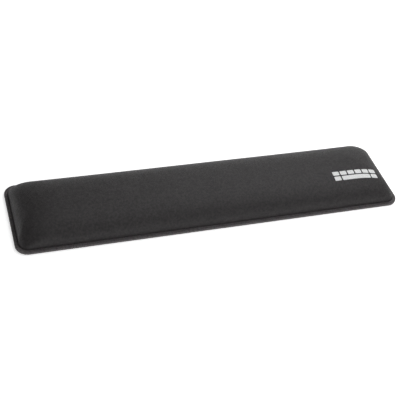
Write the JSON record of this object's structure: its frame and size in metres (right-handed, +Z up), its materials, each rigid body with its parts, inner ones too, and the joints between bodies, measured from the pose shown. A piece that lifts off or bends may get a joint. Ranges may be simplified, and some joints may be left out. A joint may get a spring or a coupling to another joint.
{
  "type": "keyboard wrist rest",
  "caption": "Long low padded wrist rest with a domed knit cover, a sewn rim and a flat rubber base; it lies on a desk in front of a keyboard.",
  "frame": {"origin": "on the desk plane under the middle of the pad, at the bottom centre of its box", "axes": "+X along the pad towards its printed end, +Y from the front edge towards the keyboard, +Z up"},
  "size_m": [0.4444, 0.1016, 0.025],
  "materials": {
    "base_rubber": "matte",
    "adhesive": "satin",
    "foam": "matte",
    "knit_cover": "matte",
    "thread": "satin",
    "print": "matte"
  },
  "bodies": {
    "root": {"rubber_base": "base_rubber", "base_adhesive_film": "adhesive", "foam_core": "foam", "fabric_cover": "knit_cover", "lower_looper_thread": "thread", "upper_looper_thread": "thread", "needle_thread": "thread", "printed_emblem": "print"}
  },
  "joints": []
}
